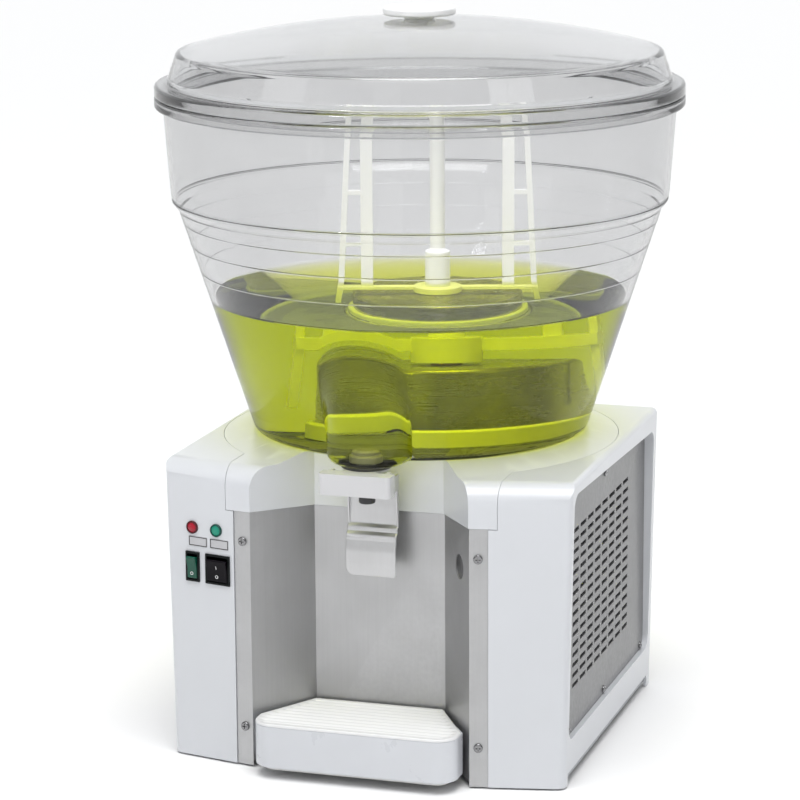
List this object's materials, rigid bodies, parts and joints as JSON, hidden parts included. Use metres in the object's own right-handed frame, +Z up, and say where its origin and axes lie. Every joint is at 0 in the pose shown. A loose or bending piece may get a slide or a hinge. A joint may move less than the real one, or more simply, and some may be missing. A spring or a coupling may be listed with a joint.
{
  "type": "refrigerated juice dispenser",
  "caption": "Countertop chilled drink dispenser: clear round bowl with domed lid and paddle stirrer on a white cabinet, with a push-back tap, cup recess and drip tray.",
  "frame": {"origin": "on the floor below the axis of the round bowl", "axes": "X to the right, Y to the back, Z up"},
  "size_m": [0.532, 0.532, 0.7396],
  "materials": {
    "shell_white": "semi-gloss white moulding",
    "panel_steel": "fine vertical brush",
    "vent_grey": "satin grey",
    "screw_chrome": "bright",
    "lamp_red": "clear red lens",
    "lamp_green": "clear green lens",
    "plate_grey": "satin",
    "switch_black": "satin black",
    "rocker_green": "translucent green",
    "rocker_black": "gloss black",
    "clear_bowl": "clear",
    "clear_lid": "clear",
    "knob_white": "gloss white",
    "drum_steel": "turned satin",
    "copper": "copper tube",
    "foam": "rigid foam",
    "seal_rubber": "soft",
    "seal_white": "soft pale",
    "bush_brass": "turned",
    "shaft_steel": "ground",
    "stirrer_white": "moulded white",
    "tap_grey": "silver grey",
    "tap_black": "gloss black",
    "lever_steel": "satin",
    "tray_white": "gloss white",
    "tongue_grey": "dark grey",
    "sheet_zinc": "zinc grey sheet",
    "foot_rubber": "black",
    "compressor_black": "black paint",
    "fin_aluminium": "bare fins",
    "fan_grey": "grey plastic",
    "motor_grey": "grey paint",
    "box_black": "black plastic"
  },
  "bodies": {
    "cabinet": {"left_side_shell": "shell_white", "right_side_shell": "shell_white", "recess_panel": "panel_steel", "recess_screws": "screw_chrome", "top_cover": "shell_white", "left_vent_insert": "vent_grey", "right_vent_insert": "vent_grey", "insert_screws": "screw_chrome", "base_pan": "sheet_zinc", "rubber_feet": "foot_rubber", "frame_posts": "sheet_zinc", "deck_plate": "sheet_zinc", "back_panel": "vent_grey", "back_screws": "screw_chrome", "cable_gland": "box_black", "evaporator_drum": "drum_steel", "drum_seal": "seal_white", "shaft_bush": "bush_brass", "evaporator_coil": "copper", "drum_foam": "foam", "condenser": "fin_aluminium", "compressor": "compressor_black", "compressor_grommets": "foot_rubber", "red_lamp": "lamp_red", "green_lamp": "lamp_green", "label_plates": "plate_grey", "switch_frames": "switch_black", "fan_shroud": "sheet_zinc", "fan_motor": "motor_grey", "stir_motor": "motor_grey", "motor_bracket": "sheet_zinc", "discharge_pipe": "copper", "liquid_pipe": "copper", "filter_drier": "copper", "suction_pipe": "copper", "relay_box": "box_black", "thermostat": "box_black", "tray_tongue": "tongue_grey"},
    "bowl_assembly": {"bowl": "clear_bowl", "tap_gasket": "seal_rubber", "tap_nut": "stirrer_white", "tap_nozzle": "tap_black", "lever_pin": "shaft_steel", "tap_housing": "tap_grey"},
    "lid_assembly": {"lid": "clear_lid", "lid_knob": "knob_white", "knob_nut": "knob_white"},
    "stirrer": {"stirrer_base": "stirrer_white", "stirrer_column": "stirrer_white", "stirrer_blade_left": "stirrer_white", "stirrer_blade_right": "stirrer_white"},
    "drive": {"drive_shaft": "shaft_steel"},
    "fan": {"condenser_fan": "fan_grey"},
    "lever": {"tap_lever": "lever_steel"},
    "plunger": {"valve_plunger": "stirrer_white"},
    "green_switch": {"green_rocker": "rocker_green"},
    "black_switch": {"black_rocker": "rocker_black"},
    "tray": {"drip_tray": "tray_white"},
    "grid": {"drip_grid": "tray_white"}
  },
  "joints": [
    {"name": "bowl_lift", "type": "slide", "parent": "cabinet", "child": "bowl_assembly", "axis": [0, 0, 1], "range_m": [0, 0.12]},
    {"name": "lid_lift", "type": "slide", "parent": "bowl_assembly", "child": "lid_assembly", "axis": [0, 0, 1], "range_m": [0, 0.15]},
    {"name": "drive_spin", "type": "hinge", "parent": "cabinet", "child": "drive", "pos_m": [0, 0.06, 0.3], "axis": [0, 0, 1], "continuous": true},
    {"name": "stirrer_spin", "type": "hinge", "parent": "bowl_assembly", "child": "stirrer", "pos_m": [0, 0.06, 0.38], "axis": [0, 0, 1], "continuous": true},
    {"name": "fan_spin", "type": "hinge", "parent": "cabinet", "child": "fan", "pos_m": [0.12, -0.06, 0.166], "axis": [1, 0, 0], "continuous": true},
    {"name": "lever_push", "type": "hinge", "parent": "bowl_assembly", "child": "lever", "pos_m": [0, -0.203, 0.296], "axis": [1, 0, 0], "range_deg": [0, 13], "stiffness_Nm_per_rad": 0.6, "springref_deg": -8.59},
    {"name": "valve_lift", "type": "slide", "parent": "bowl_assembly", "child": "plunger", "axis": [0, 0, 1], "range_m": [0, 0.0056]},
    {"name": "green_rock", "type": "hinge", "parent": "cabinet", "child": "green_switch", "pos_m": [-0.17677, -0.19368, 0.1994], "axis": [0.9769, -0.2135, 0], "range_deg": [-16, 0]},
    {"name": "black_rock", "type": "hinge", "parent": "cabinet", "child": "black_switch", "pos_m": [-0.14807, -0.19996, 0.1994], "axis": [0.9769, -0.2135, 0], "range_deg": [-16, 0]},
    {"name": "tray_slide", "type": "slide", "parent": "cabinet", "child": "tray", "axis": [0, -1, 0], "range_m": [0, 0.12]},
    {"name": "grid_lift", "type": "slide", "parent": "tray", "child": "grid", "axis": [0, 0, 1], "range_m": [0, 0.06]}
  ],
  "couplings": [
    {"joint": "stirrer_spin", "follows": "drive_spin", "ratio": 1},
    {"joint": "valve_lift", "follows": "lever_push", "m_per_rad": 0.0245}
  ]
}
